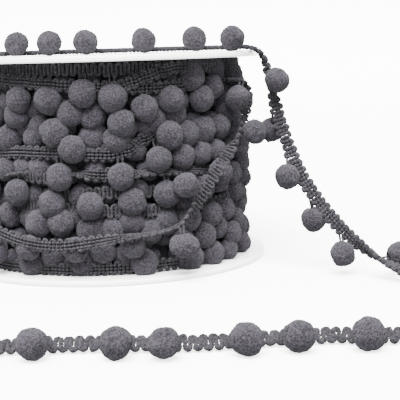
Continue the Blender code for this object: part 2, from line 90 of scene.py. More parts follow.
deselect_all()
bpy.ops.mesh.primitive_circle_add(vertices=TABLE_SIDES, radius=TABLE_RADIUS, fill_type="NGON")
table = bpy.context.object
table.name = "table"
bpy.ops.object.mode_set(mode="EDIT")
bpy.ops.mesh.select_mode(type="EDGE")
bpy.ops.mesh.select_all(action="SELECT")
swept_out = TABLE_RADIUS
swept_up = 0.0
for step in range(1, TABLE_SWEEP_STEPS + 1):
    turn = step / TABLE_SWEEP_STEPS * pi / 2
    out = TABLE_RADIUS + TABLE_SWEEP * sin(turn)
    up = TABLE_SWEEP * (1.0 - cos(turn))
    bpy.ops.mesh.extrude_edges_move(TRANSFORM_OT_translate={"value": (0.0, 0.0, up - swept_up)})
    bpy.ops.transform.resize(value=(out / swept_out, out / swept_out, 1.0))
    swept_out = out
    swept_up = up
bpy.ops.object.mode_set(mode="OBJECT")
bpy.ops.object.shade_smooth_by_angle(angle=radians(40.0))


class Wire:
    """A socket in a finish. Sums with wires and numbers add Math nodes; node() adds any other."""

    def __init__(self, tree, socket=None):
        self.tree = tree
        self.socket = socket

    def node(self, kind, settings=(), inputs=(), output=0):
        """A node of this kind: its settings are made first, then its sockets are set or linked."""
        made = self.tree.nodes.new(kind)
        for name, value in dict(settings).items():
            setattr(made, name, value)
        for name, value in dict(inputs).items():
            if isinstance(value, Wire):
                self.tree.links.new(value.socket, made.inputs[name])
            else:
                made.inputs[name].default_value = value
        return Wire(self.tree, made.outputs[output])

    def worked_out(self, operation, first, second):
        """A Math node on two wires or numbers."""
        return self.node("ShaderNodeMath", {"operation": operation}, {0: first, 1: second})

    def __add__(self, other):
        return self.worked_out("ADD", self, other)

    __radd__ = __add__

    def __mul__(self, other):
        return self.worked_out("MULTIPLY", self, other)

    __rmul__ = __mul__

    def __sub__(self, other):
        return self.worked_out("SUBTRACT", self, other)

    def __rsub__(self, other):
        return self.worked_out("SUBTRACT", other, self)


def new_finish(name):
    """A new finish, its shader, and a wire that carries a place on the piece."""
    finish = bpy.data.materials.new(name)
    finish.use_nodes = True
    shader = finish.node_tree.nodes["Principled BSDF"]
    place = Wire(finish.node_tree).node("ShaderNodeTexCoord", output="Object")
    return finish, shader, place


def cloud(place, size, detail=2.0, roughness=0.5):
    """A cloudy pattern, from about 0 to 1, whose blots are this size."""
    return place.node(
        "ShaderNodeTexNoise",
        inputs={"Vector": place, "Scale": 1.0 / size, "Detail": detail, "Roughness": roughness},
    )


def blend_of(amount, first, second):
    """The first colour where amount is 0, and the second where it is 1."""
    return amount.node("ShaderNodeMix", {"data_type": "RGBA"}, {0: amount, 6: first, 7: second}, 2)


def feed(shader, wires):
    """Links wires to the shader's sockets, or sets them where they are plain numbers."""
    for name, wire in wires.items():
        if isinstance(wire, Wire):
            wire.tree.links.new(wire.socket, shader.inputs[name])
        else:
            shader.inputs[name].default_value = wire


def table_finish():
    """White board, faintly smudged, with light coming through it."""
    finish, shader, place = new_finish("white_table")
    smudge = cloud(place, TABLE_SMUDGE)
    feed(
        shader,
        {
            "Base Color": blend_of(smudge, TABLE_DULLER, TABLE_PALER),
            "Roughness": 0.6,
            "Specular IOR Level": 0.1,
            "Emission Color": TABLE_GLOW_COLOUR,
            "Emission Strength": TABLE_GLOW,
        },
    )
    return finish


table.data.materials.append(table_finish())
table.visible_diffuse = False


# ---- Light ------------------------------------------------------------------------------------
# Even white light from all round, and a very wide soft lamp high up behind the camera, a little
# to its left. Shadows are faint, and under pompoms and turns they are soft.

SKY_STRENGTH = 3.2
SUN_DIRECTION = (-0.08, -0.50, 0.86)
SUN_STRENGTH = 27.0
SUN_ANGLE = radians(50.0)

world = bpy.data.worlds.new("even_sky")
world.use_nodes = True
sky = world.node_tree.nodes["Background"]
sky.inputs["Color"].default_value = (1.0, 1.0, 1.0, 1.0)
sky.inputs["Strength"].default_value = SKY_STRENGTH
bpy.context.scene.world = world
lamp = bpy.data.objects.new("wide_lamp", bpy.data.lights.new("wide_lamp", "SUN"))
lamp.data.angle = SUN_ANGLE
lamp.data.energy = SUN_STRENGTH
lamp.matrix_world = Vector(SUN_DIRECTION).to_track_quat("Z", "Y").to_matrix().to_4x4()
bpy.context.scene.collection.objects.link(lamp)


# ---- Braid of the two loose lengths -----------------------------------------------------------
# One thick yarn goes to and fro across the braid and turns back in a round loop at each edge,
# which scallops both edges. Three thin chains run along one face, over each bar, and lock it.

BRAID_WIDTH = 0.006
BAR_PITCH = 0.001625
BAR_REACH = 0.00150
LOOP_REACH = 0.00078
# How thick the bars and the edge loops are: drawn tight on the reel and in the loose turn, and
# full in the free end
TIGHT_YARN = (0.00118, 0.00136)
FULL_YARN = (0.00176, 0.00186)
# Points of the thick yarn: shares of a bar's reach, and degrees round an edge loop
BAR_SHARES = (-0.95, -0.4, 0.4, 0.95)
LOOP_TURNS = (25.0, 58.0, 90.0, 122.0, 155.0)
BAR_SET_BACK = -0.00016
BAR_SLIP = 0.07
LOOP_STRAY = 0.35
YARN_LUMPS = 0.17
CHAIN_PLACES = (-0.00135, 0.0, 0.00135)
CHAIN_THICKNESS = 0.00080
# Points of a chain: share of the bar pitch, how proud of the middle plane, share of the thickness
CHAIN_POINTS = (
    (0.0, -0.00025, 0.35),
    (0.3, 0.00072, 1.15),
    (0.7, 0.00072, 1.15),
)
STATIONS_A_ROW = 12
# Sides of a yarn grow with its roundness
LOOSE_ROUNDNESS = 2
WOUND_ROUNDNESS = 1
SCATTER_STRETCH = 12.9898
SCATTER_GAIN = 43758.5453

# Place, and direction of the pompom edge
LOOSE_TURN = (
    ((-0.0610, -0.0050, 0.0520), (-0.30, -0.60, -0.70)),
    ((-0.0652, -0.0120, 0.0460), (-0.30, -0.60, -0.70)),
    ((-0.0662, -0.0220, 0.0385), (-0.10, -0.40, -0.90)),
    ((-0.0618, -0.0340, 0.0305), (0.10, -0.10, -1.00)),
    ((-0.0525, -0.0460, 0.0250), (0.10, -0.05, -1.00)),
    ((-0.0408, -0.0563, 0.0210), (0.08, -0.05, -1.00)),
    ((-0.0298, -0.0628, 0.0178), (0.05, -0.05, -1.00)),
    ((-0.0160, -0.0676, 0.0166), (0.00, -0.08, -1.00)),
    ((-0.0010, -0.0695, 0.0182), (0.00, -0.40, -1.00)),
    ((0.0136, -0.0678, 0.0196), (0.00, -0.90, -0.15)),
    ((0.0246, -0.0645, 0.0203), (0.05, -1.00, 0.15)),
    ((0.0326, -0.0608, 0.0226), (0.15, -1.00, 0.15)),
    ((0.0382, -0.0573, 0.0280), (-0.30, -0.70, 0.60)),
    ((0.0426, -0.0542, 0.0340), (-0.70, -0.45, 0.55)),
    ((0.0469, -0.0500, 0.0410), (-0.80, -0.10, 0.55)),
    ((0.0523, -0.0437, 0.0480), (-0.70, 0.20, 0.50)),
    ((0.0570, -0.0375, 0.0550), (0.10, 0.95, 0.20)),
    ((0.0604, -0.0315, 0.0620), (0.30, 0.95, 0.10)),
    ((0.0619, -0.0282, 0.0684), (0.80, 0.50, 0.00)),
    ((0.0625, -0.0269, 0.0730), (0.85, -0.50, 0.10)),
    ((0.0610, -0.0284, 0.0773), (0.54, -0.84, 0.12)),
    ((0.0572, -0.0314, 0.0793), (0.54, -0.84, 0.12)),
    ((0.0526, -0.0332, 0.0796), (0.54, -0.84, 0.12)),
)

FREE_END = (
    ((-0.0580, -0.0200, 0.0730), (0.00, -1.00, 0.00)),
    ((-0.0635, -0.0215, 0.0760), (0.00, -1.00, 0.00)),
    ((-0.0696, -0.0220, 0.0805), (0.00, -1.00, 0.00)),
    ((-0.0716, -0.0220, 0.0860), (0.00, -1.00, 0.00)),
    ((-0.0706, -0.0220, 0.0910), (0.00, -1.00, 0.00)),
    ((-0.0665, -0.0220, 0.0936), (0.00, -1.00, 0.00)),
    ((-0.0580, -0.0220, 0.0930), (0.00, -1.00, 0.00)),
    ((-0.0430, -0.0220, 0.0928), (0.00, -1.00, 0.00)),
    ((-0.0215, -0.0225, 0.0929), (0.00, -1.00, 0.00)),
    ((0.0000, -0.0230, 0.0929), (0.00, -1.00, 0.00)),
    ((0.0214, -0.0240, 0.0930), (0.00, -1.00, 0.00)),
    ((0.0428, -0.0260, 0.0930), (0.00, -1.00, 0.00)),
    ((0.0576, -0.0275, 0.0930), (0.00, -1.00, 0.00)),
    ((0.0634, -0.0280, 0.0928), (0.00, -1.00, 0.00)),
    ((0.0674, -0.0280, 0.0912), (0.10, -1.00, 0.00)),
    ((0.0696, -0.0280, 0.0880), (0.30, -0.95, 0.00)),
    ((0.0709, -0.0282, 0.0836), (0.50, -0.85, 0.00)),
    ((0.0722, -0.0290, 0.0786), (0.10, -0.95, 0.00)),
    ((0.0736, -0.0310, 0.0704), (-0.80, -0.40, -0.20)),
    ((0.0754, -0.0330, 0.0630), (-0.80, 0.20, -0.20)),
    ((0.0778, -0.0356, 0.0545), (-0.95, 0.20, -0.20)),
    ((0.0809, -0.0385, 0.0454), (-0.95, 0.00, -0.30)),
    ((0.0858, -0.0430, 0.0357), (-0.90, 0.00, -0.40)),
    ((0.0912, -0.0475, 0.0274), (-0.85, 0.05, -0.50)),
    ((0.0970, -0.0526, 0.0200), (-0.70, 0.20, -0.65)),
    ((0.1032, -0.0583, 0.0140), (-0.50, 0.55, -0.60)),
    ((0.1092, -0.0646, 0.0098), (-0.15, 0.80, -0.35)),
    ((0.1149, -0.0714, 0.0066), (0.25, 0.80, 0.10)),
    ((0.1215, -0.0775, 0.0040), (0.45, 0.75, 0.30)),
    ((0.1320, -0.0845, 0.0022), (0.60, 0.70, 0.20)),
    ((0.1435, -0.0940, 0.0018), (0.80, 0.55, 0.10)),
    ((0.1510, -0.1070, 0.0017), (1.00, 0.20, 0.10)),
    ((0.1520, -0.1230, 0.0017), (1.00, -0.15, 0.10)),
    ((0.1460, -0.1395, 0.0017), (0.85, -0.50, 0.10)),
    ((0.1330, -0.1515, 0.0021), (0.60, -0.80, -0.10)),
    ((0.1180, -0.1598, 0.0027), (0.20, -0.85, -0.45)),
    ((0.1026, -0.1632, 0.0028), (0.03, -0.80, -0.60)),
    ((0.0809, -0.1610, 0.0028), (0.00, -0.80, -0.60)),
    ((0.0625, -0.1622, 0.0028), (0.00, -0.80, -0.60)),
    ((0.0440, -0.1651, 0.0028), (0.00, -0.80, -0.60)),
    ((0.0209, -0.1647, 0.0028), (0.00, -0.80, -0.60)),
    ((0.0003, -0.1633, 0.0028), (0.00, -0.80, -0.60)),
    ((-0.0232, -0.1637, 0.0028), (0.00, -0.80, -0.60)),
    ((-0.0360, -0.1639, 0.0028), (0.00, -0.80, -0.60)),
)


def smooth_run(rows):
    """Stations (place, direction of travel, pompom edge) on a smooth curve through the rows."""
    places = [Vector(row[0]) for row in rows]
    last = len(places) - 1
    headings = []
    for i in range(last + 1):
        ahead = places[min(i + 1, last)] - places[max(i - 1, 0)]
        headings.append(ahead.normalized())
    stations = []
    for i in range(last):
        span = (places[i + 1] - places[i]).length
        steps = STATIONS_A_ROW + 1 if i == last - 1 else STATIONS_A_ROW
        for step in range(steps):
            u = step / STATIONS_A_ROW
            out, back = 2 * u**3 - 3 * u**2 + 1, -2 * u**3 + 3 * u**2
            leave, arrive = u**3 - 2 * u**2 + u, u**3 - u**2
            place = out * places[i] + back * places[i + 1]
            place += span * (leave * headings[i] + arrive * headings[i + 1])
            travel = (6 * u**2 - 6 * u) / span * (places[i] - places[i + 1])
            travel += (3 * u**2 - 4 * u + 1) * headings[i] + (3 * u**2 - 2 * u) * headings[i + 1]
            travel.normalize()
            edge = Vector(rows[i][1]).lerp(Vector(rows[i + 1][1]), u)
            edge -= edge.dot(travel) * travel
            stations.append((place, travel, edge.normalized()))
    return stations


def lengths_along(stations):
    """How far along the run each station is."""
    gone = [0.0]
    for first, second in zip(stations, stations[1:]):
        gone.append(gone[-1] + (second[0] - first[0]).length)
    return gone


def at_length(stations, gone, wanted):
    """The station this far along the run."""
    i = min(max(bisect_right(gone, wanted) - 1, 0), len(gone) - 2)
    share = min((wanted - gone[i]) / (gone[i + 1] - gone[i]), 1.0)
    first, second = stations[i], stations[i + 1]
    place, travel, edge = (a.lerp(b, share) for a, b in zip(first, second))
    return place, travel.normalized(), edge.normalized()


def beside(station, across, proud):
    """A point on the braid: towards its pompom edge, and proud of its middle plane."""
    place, travel, edge = station
    return place + edge * across + edge.cross(travel) * proud


def scatter(seed):
    """A number from -1 to 1 that strays like chance but is the same on every run.

    Seeds differ by a fraction from one use to the next, so that the uses don't stray alike.
    """
    value = sin(seed * SCATTER_STRETCH) * SCATTER_GAIN
    return 2.0 * (value - floor(value)) - 1.0


def cross_yarn(stations, gone, bar_thickness, loop_thickness):
    """The thick yarn's line, to and fro across the braid, with its thickness at each point."""
    line = []
    for bar in range(int(gone[-1] / BAR_PITCH)):
        side = 1.0 if bar % 2 else -1.0
        slip = BAR_SLIP * scatter(bar + 0.21)
        here = at_length(stations, gone, (bar + 0.5 + slip) * BAR_PITCH)
        reach = LOOP_REACH * (1.0 + LOOP_STRAY * scatter(bar * 1.3 + 0.67))
        for share in BAR_SHARES:
            across = share * side * BAR_REACH
            lump = 1.0 + YARN_LUMPS * scatter(len(line) * 0.77)
            line.append((beside(here, across, BAR_SET_BACK), bar_thickness * lump))
        for turn in LOOP_TURNS:
            along = (bar + 0.5 + 0.5 * (1.0 - cos(radians(turn)))) * BAR_PITCH
            out = side * (BAR_REACH + reach * sin(radians(turn)))
            there = at_length(stations, gone, along)
            lump = 1.0 + YARN_LUMPS * scatter(len(line) * 0.77)
            line.append((beside(there, out, 0.0), loop_thickness * lump))
    return line


def chain_yarn(stations, gone, across):
    """A thin yarn's line along the braid, over each bar and down between bars."""
    line = []
    for bar in range(int(gone[-1] / BAR_PITCH)):
        for share, proud, fullness in CHAIN_POINTS:
            here = at_length(stations, gone, (bar + share) * BAR_PITCH)
            line.append((beside(here, across, proud), CHAIN_THICKNESS * fullness))
    return line


def yarns(name, lines, roundness):
    """A mesh of yarns that follow these lines of (point, thickness)."""
    curve = bpy.data.curves.new(name, "CURVE")
    curve.dimensions = "3D"
    curve.bevel_depth = 0.5
    curve.bevel_resolution = roundness
    curve.use_fill_caps = True
    for line in lines:
        spline = curve.splines.new("POLY")
        spline.points.add(len(line) - 1)
        for point, (place, thickness) in zip(spline.points, line):
            point.co = (*place, 1.0)
            point.radius = thickness
    deselect_all()
    piece = bpy.data.objects.new(name, curve)
    bpy.context.scene.collection.objects.link(piece)
    piece.select_set(True)
    bpy.context.view_layer.objects.active = piece
    bpy.ops.object.convert(target="MESH")
    return bpy.context.object


def braid(name, stations, yarn_sizes, roundness):
    """The braid along a run of stations: its thick yarn and its chains."""
    gone = lengths_along(stations)
    lines = [cross_yarn(stations, gone, *yarn_sizes)]
    for across in CHAIN_PLACES:
        lines.append(chain_yarn(stations, gone, across))
    return yarns(name, lines, roundness)


YARN_DARKER = (0.0075, 0.0069, 0.0082, 1.0)
YARN_PALER = (0.0325, 0.0303, 0.0352, 1.0)
YARN_HAIR = 0.0007
YARN_PATCH = 0.006
YARN_CONTRAST = 3.6
YARN_BUMP = 0.0006
# How much finer detail the clouds of fibre hold, and how strong it is
FIBRE_DETAIL = 3.0
FIBRE_HARSHNESS = 0.75


def yarn_finish():
    """Dull grey spun yarn with a patchy tone, and painted shade that follows its bump: darker down
    in it, paler on the hairs that stand up.
    """
    finish, shader, place = new_finish("grey_yarn")
    hairs = cloud(place, YARN_HAIR, FIBRE_DETAIL, FIBRE_HARSHNESS)
    patches = cloud(place, YARN_PATCH)
    # Painted shade: the hair cloud that lowers the bump also darkens the colour, and the patches
    # add the yarn's own uneven tone.
    shade = (hairs - 0.5) * YARN_CONTRAST + patches
    bump = place.node(
        "ShaderNodeBump", inputs={"Height": hairs, "Strength": 1.0, "Distance": YARN_BUMP}
    )
    feed(
        shader,
        {
            "Base Color": blend_of(shade, YARN_DARKER, YARN_PALER),
            "Roughness": 0.95,
            "Specular IOR Level": 0.0,
            "Sheen Weight": 0.05,
            "Sheen Roughness": 0.5,
            "Normal": bump,
        },
    )
    return finish


grey_yarn = yarn_finish()
loose_run = smooth_run(LOOSE_TURN)
free_run = smooth_run(FREE_END)
loose_braid = braid("loose_turn_braid", loose_run, TIGHT_YARN, LOOSE_ROUNDNESS)
free_braid = braid("free_end_braid", free_run, FULL_YARN, LOOSE_ROUNDNESS)
for piece in (loose_braid, free_braid):
    piece.data.materials.append(grey_yarn)
    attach(piece, "root")
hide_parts("loose_turn")
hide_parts("free_end")


# ---- Pompoms ----------------------------------------------------------------------------------
# Balls of short felted pile, clipped nearly round. Each is drawn in a little where its stem goes
# in, often has a small tuft opposite, and has a few sides pressed flatter by its neighbours.

POMPOM_RADIUS = 0.0051
POMPOM_KINDS = 12
DIMPLE = 0.0011
DIMPLE_SPREAD = 0.0026
TUFT = 0.0007
TUFT_SPREAD = 0.0017
TUFT_TILT = 0.5
TUFT_STRAY = 0.6
FLAT = 0.00035
FLAT_SPREAD = 0.0042
FLATS_A_POMPOM = 4
FLAT_TURN = 0.4
FLAT_TILT = 0.7
FLAT_STRAY = 0.5
# The kinds are this far apart while they are roughened, so that no two are alike
KIND_SPACING = 0.05
CLIPPING_SIZE = 0.0035
CLIPPING_DEPTH = 0.0008
PILE_SIZE = 0.0005
PILE_DEPTH = 0.00055


def pull(ball, direction, distance, spread):
    """Moves the part of a ball that faces this way, and less and less of what is round it."""
    for vertex in ball.data.vertices:
        vertex.select = False
    for edge in ball.data.edges:
        edge.select = False
    for face in ball.data.polygons:
        face.select = False
    nearest = max(ball.data.vertices, key=lambda vertex: vertex.co.dot(direction))
    nearest.select = True
    bpy.ops.object.mode_set(mode="EDIT")
    bpy.ops.mesh.select_mode(type="VERT")
    bpy.ops.transform.translate(
        value=direction * distance,
        use_proportional_edit=True,
        proportional_edit_falloff="SMOOTH",
        proportional_size=spread,
    )
    bpy.ops.object.mode_set(mode="OBJECT")


def roughened(ball, name, size, strength):
    """Raises and lowers a ball's surface in blots of this size."""
    blots = bpy.data.textures.new(name, "CLOUDS")
    blots.noise_scale = size
    blots.noise_depth = 1
    rough = ball.modifiers.new(name, "DISPLACE")
    rough.texture = blots
    rough.texture_coords = "LOCAL"
    rough.mid_level = 0.5
    rough.strength = strength
    bpy.ops.object.modifier_apply(modifier=rough.name)


def pompom_kind(kind, fineness):
    """One clipped pompom at the origin, with its stem's side up."""
    deselect_all()
    bpy.ops.mesh.primitive_ico_sphere_add(subdivisions=fineness, radius=POMPOM_RADIUS)
    ball = bpy.context.object
    ball.name = f"pompom_kind_{kind}"
    pull(ball, Vector((0.0, 0.0, 1.0)), -DIMPLE, DIMPLE_SPREAD)
    tilt = (TUFT_TILT * scatter(kind + 0.2), TUFT_TILT * scatter(kind + 0.6))
    height = TUFT * (TUFT_STRAY + TUFT_STRAY * scatter(kind + 0.9))
    pull(ball, Vector((*tilt, -1.0)).normalized(), height, TUFT_SPREAD)
    for flat in range(FLATS_A_POMPOM):
        seed = kind * 7 + flat
        turn = (flat + FLAT_TURN * scatter(seed)) / FLATS_A_POMPOM * 2.0 * pi
        side = Vector((cos(turn), sin(turn), FLAT_TILT * scatter(seed + 0.5))).normalized()
        pull(ball, side, -FLAT * (1.0 + FLAT_STRAY * scatter(seed + 0.3)), FLAT_SPREAD)
    bpy.ops.object.transform_apply(location=True, rotation=True, scale=True)
    ball.data.transform(Matrix.Translation((kind * KIND_SPACING, 0.0, 0.0)))
    roughened(ball, "clipping", CLIPPING_SIZE, CLIPPING_DEPTH)
    roughened(ball, "pile", PILE_SIZE, PILE_DEPTH)
    ball.data.transform(Matrix.Translation((-kind * KIND_SPACING, 0.0, 0.0)))
    bpy.ops.object.shade_smooth()
    return ball


def pompoms(name, kinds, placed, pressings):
    """One piece of many pompoms: each is a copy of a kind, turned to its stem and set in place.

    A pressing is the way a pompom is pressed. Its length is the share of the depth that is left.
    """
    copies = []
    for seed, ((centre, towards_stem, size), pressing) in enumerate(zip(placed, pressings)):
        pick = scatter(seed * 1.7 + len(placed)) * 0.5 + 0.5
        kind = kinds[int(pick * len(kinds)) % len(kinds)]
        copy = kind.copy()
        copy.data = kind.data.copy()
        turned = towards_stem.to_track_quat("Z", "Y").to_matrix().to_4x4()
        spin = Matrix.Rotation(pi * scatter(seed + 0.45), 4, "Z")
        grown = Matrix.Scale(size / POMPOM_RADIUS, 4)
        pressed = Matrix.Scale(pressing.length, 4, pressing.normalized())
        copy.data.transform(Matrix.Translation(centre) @ pressed @ turned @ spin @ grown)
        bpy.context.scene.collection.objects.link(copy)
        copies.append(copy)
    deselect_all()
    for copy in copies:
        copy.select_set(True)
    bpy.context.view_layer.objects.active = copies[0]
    bpy.ops.object.join()
    piece = bpy.context.object
    piece.name = name
    piece.data.name = name
    return piece


FELT_DARKER = (0.0084, 0.0076, 0.0095, 1.0)
FELT_PALER = (0.0320, 0.0286, 0.0363, 1.0)
FELT_PILE = 0.0008
FELT_MOTTLE = 0.0025
FELT_PATCH = 0.012
FELT_GRAIN = 0.00045
FELT_CONTRAST = 3.4
MOTTLE_CONTRAST = 0.4
FELT_BUMP = 0.0009


def felt_finish():
    """Dull grey felted pile: mottled and grainy, with painted shade darker in the hollows of its
    bump, and a little paler seen edge on.
    """
    finish, shader, place = new_finish("grey_felt")
    pile = cloud(place, FELT_PILE, FIBRE_DETAIL, FIBRE_HARSHNESS)
    mottle = cloud(place, FELT_MOTTLE, 2.0)
    patches = cloud(place, FELT_PATCH)
    grain = cloud(place, FELT_GRAIN, 1.0)
    # Painted shade: the pile cloud that lowers the bump also darkens the colour, while the grain,
    # mottle and patches are the felt's own uneven tone.
    shade = (pile - 0.5) * FELT_CONTRAST + (grain - 0.5) * FELT_CONTRAST
    shade = shade + (mottle - 0.5) * MOTTLE_CONTRAST + patches
    bump = place.node(
        "ShaderNodeBump", inputs={"Height": pile, "Strength": 1.0, "Distance": FELT_BUMP}
    )
    feed(
        shader,
        {
            "Base Color": blend_of(shade, FELT_DARKER, FELT_PALER),
            "Roughness": 1.0,
            "Specular IOR Level": 0.0,
            "Sheen Weight": 0.05,
            "Sheen Roughness": 0.6,
            "Normal": bump,
        },
    )
    return finish


grey_felt = felt_finish()


# ---- Pompoms and stems of the two loose lengths -----------------------------------------------
# Every twelfth bar a stem of two thin yarns leaves one edge of the braid and goes into a pompom.
# Pompoms hang where the trim hangs, and lie where it runs over the top flange or along the table.

POMPOM_PITCH = 0.0195
STEM_LENGTH = 0.0032
STEM_OVERLAP = 0.0008
REST_GAP = 0.0003
FREE_RADIUS = 0.0052
FREE_STRAY = 0.06
FREE_FINENESS = 5
LEG_THICKNESS = 0.00095
LEG_SPREAD = 0.0010
LEG_STEPS = 6
# Each leg of a stem starts back in the braid, bows out and ends in the pompom: the shares are of
# the way to the pompom's centre, and of the legs' spread
LEG_START_BACK = 0.0006
BOW_SHARE = 0.25
BOW_SPREAD = 1.15
END_SHARE = 0.62
END_SPREAD = 0.35
UNDER_TOP_FLANGE = 0.0890
REEL_TOP = 0.0914
FLANGE_RADIUS = 0.070
LOOSE_TURN_FIRST_POMPOM = 0.0120
# The eighth pompom of the loose turn is squeezed low and wide against the winding
SQUEEZED_POMPOM = 7
SQUEEZED_WIDER = 1.26
SQUEEZED_DEPTH = 0.68
SQUEEZED_WAY = (0.1, -0.3, 1.0)
# Which way each pompom hangs from the braid's edge; with two numbers it lies on what is below it
LOOSE_TURN_AIMS = (
    (-0.27, 0.47, -0.84),
    (-0.21, 0.33, -0.92),
    (-0.21, 0.40, -0.89),
    (-0.30, 0.60, -0.74),
    (-0.61, 0.79, 0.00),
    (-0.57, 0.80, -0.17),
    (-0.15, 0.85, -0.50),
    (0.17, -0.30, -0.94),
    (-0.80, -0.58, 0.15),
    (-0.15, -0.10, -0.98),
    (0.41, -0.76, -0.51),
    (-0.25, -0.45, -0.86),
)
FREE_END_FIRST_POMPOM = 0.0179
FREE_END_AIMS = (
    (0.00, -0.83, -0.55),
    (0.00, -1.00),
    (0.72, -0.69),
    (0.00, -1.00),
    (-0.60, -0.80),
    (0.09, -1.00),
    (0.35, -0.94),
    (-0.15, -0.99),
    (0.30, -0.78, -0.55),
    (-0.05, 0.66, -0.75),
    (-0.08, -0.59, -0.80),
    (0.12, -0.06, -0.99),
    (0.00, -0.58, -0.81),
    (0.94, 0.25, 0.20),
    (0.57, 0.82),
    (0.86, 0.50),
    (0.95, 0.32),
    (0.92, -0.38),
    (0.83, -0.56),
    (0.30, -0.95),
    (0.20, -0.98),
    (0.36, -0.93),
    (0.04, -0.99),
    (0.44, -0.89),
    (-0.29, -0.96),
    (0.37, -0.93),
    (-0.52, -0.85),
    (-0.16, -0.98),
)


def out_of_round(seed):
    """The slight pressing that keeps a free pompom from being quite round."""
    way = Vector((scatter(seed + 0.15), scatter(seed + 0.35), scatter(seed + 0.75))).normalized()
    return way * (1.0 + FREE_STRAY * scatter(seed * 3.1 + 0.4))


def resting_height(place):
    """The height of whatever lies under a place: the top flange, or the table."""
    over_flange = place.z > UNDER_TOP_FLANGE and hypot(place.x, place.y) < FLANGE_RADIUS
    return REEL_TOP if over_flange else 0.0


def hung_pompoms(stations, first, aims):
    """Root of each stem, centre of its pompom, and direction of the braid there."""
    gone = lengths_along(stations)
    reach = STEM_LENGTH + POMPOM_RADIUS
    hung = []
    for k, aim in enumerate(aims):
        place, travel, edge = at_length(stations, gone, first + k * POMPOM_PITCH)
        root = place + edge * (BRAID_WIDTH / 2 - STEM_OVERLAP)
        away = Vector(aim).to_3d().normalized() * reach
        if len(aim) == 2:
            rise = resting_height(place) + POMPOM_RADIUS + REST_GAP - root.z
            away *= sqrt(reach**2 - rise**2) / reach
            away.z = rise
        hung.append((root, root + away, travel))
    return hung


def stem_legs(hung):
    """The two yarns of each stem, bowed apart a little."""
    lines = []
    for root, centre, travel in hung:
        away = centre - root
        for side in (-1.0, 1.0):
            start = root - away.normalized() * LEG_START_BACK + travel * side * LEG_SPREAD
            middle = root.lerp(centre, BOW_SHARE) + travel * side * LEG_SPREAD * BOW_SPREAD
            end = root.lerp(centre, END_SHARE) + travel * side * LEG_SPREAD * END_SPREAD
            line = []
            for step in range(LEG_STEPS + 1):
                u = step / LEG_STEPS
                place = start * (1 - u) ** 2 + middle * 2 * u * (1 - u) + end * u**2
                line.append((place, LEG_THICKNESS))
            lines.append(line)
    return lines


fine_kinds = [pompom_kind(kind, FREE_FINENESS) for kind in range(POMPOM_KINDS)]
loose_hung = hung_pompoms(loose_run, LOOSE_TURN_FIRST_POMPOM, LOOSE_TURN_AIMS)
free_hung = hung_pompoms(free_run, FREE_END_FIRST_POMPOM, FREE_END_AIMS)
for name, piece, run, hung, ending, lay in (
    ("loose_turn", loose_braid, loose_run, loose_hung, "object", "hanging"),
    ("free_end", free_braid, free_run, free_hung, "bare", "loose"),
):
    stems = yarns(name + "_stems", stem_legs(hung), LOOSE_ROUNDNESS)
    stems.data.materials.append(grey_yarn)
    placed = [(centre, root - centre, FREE_RADIUS) for root, centre, _ in hung]
    pressings = [out_of_round(seed) for seed in range(len(hung))]
    if name == "loose_turn":
        centre, to_stem, _ = placed[SQUEEZED_POMPOM]
        placed[SQUEEZED_POMPOM] = (centre, to_stem, POMPOM_RADIUS * SQUEEZED_WIDER)
        pressings[SQUEEZED_POMPOM] = Vector(SQUEEZED_WAY).normalized() * SQUEEZED_DEPTH
    balls = pompoms(name + "_pompoms", fine_kinds, placed, pressings)
    balls.data.materials.append(grey_felt)
    for part in (stems, balls):
        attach(part, "root")
    path = [place for place, _, _ in run]
    sum((b - a).length for a, b in zip(path, path[1:]))
for kind in fine_kinds:
    bpy.data.objects.remove(kind, do_unlink=True)


# ---- The winding ------------------------------------------------------------------------------
# Many turns of the same trim on the core. Its outer turns show as bands of braid among pompoms
# that crowd and press into each other, and deeper pompoms show in the gaps.

WINDING_BOTTOM = 0.0027
WINDING_TOP = 0.0887
HEART_RADIUS = 0.0522
HEART_SIDES = 240
HEART_CUTS = 60
DENT_SIZE = 0.008
DENT_DEPTH = 0.003
CORE_ROOM = 0.0209
CORE_ROOM_SIDES = 96
# How much of its depth a pompom keeps, and how far in and by what steps it gives way
DEPTH_LEFT = 0.88
DEEPEST = 0.0480
GIVE_STEP = 0.0004
# How much pompoms stray: share of their radius, degrees round the reel, and metres out from it
SIZE_STRAY = 0.05
ANGLE_STRAY = 2.2
OUT_STRAY = 0.0008
SEEDS_A_RING = 53
STEM_TILT_IN = 0.6
STEM_TILT_ASIDE = 0.5
# From a turn's outer radius in to its middle plane
HALF_BRAID = 0.0008
TURN_ROWS = 160
TURN_STATIONS_KEPT = 4
# A front pompom gets a stem when its centre is this far below a turn's edge
SHORTEST_DROP = 0.0055
LONGEST_DROP = 0.0092
# Front pompoms past this angle are fuller than those round the right side
FRONT_FULLNESS = 1.13
SIDE_ANGLE = 40
FRONT_FINENESS = 4
RING_FINENESS = 3
DEEP_FINENESS = 2
# The loose lengths push pompoms in as balls of this share of the braid's width, at these shares of
# it across the braid, and at every third station
PRESSING_BALL = 0.25
PRESSING_PLACES = (-0.3, 0.0, 0.3)
PRESSING_STATIONS_KEPT = 3
# Only the first rows of the free end are near the winding
FREE_ROWS_NEAR = 5
# Rings of pompoms deep in the gaps
DEEP_RINGS = 9
DEEP_LOWEST = 0.0075
DEEP_RISE = 0.0092
DEEP_TURN = 5.7
DEEP_COUNT = 32
DEEP_STRAY = 0.0012
DEEP_RADIUS = 0.0549
DEEP_SEED = 20

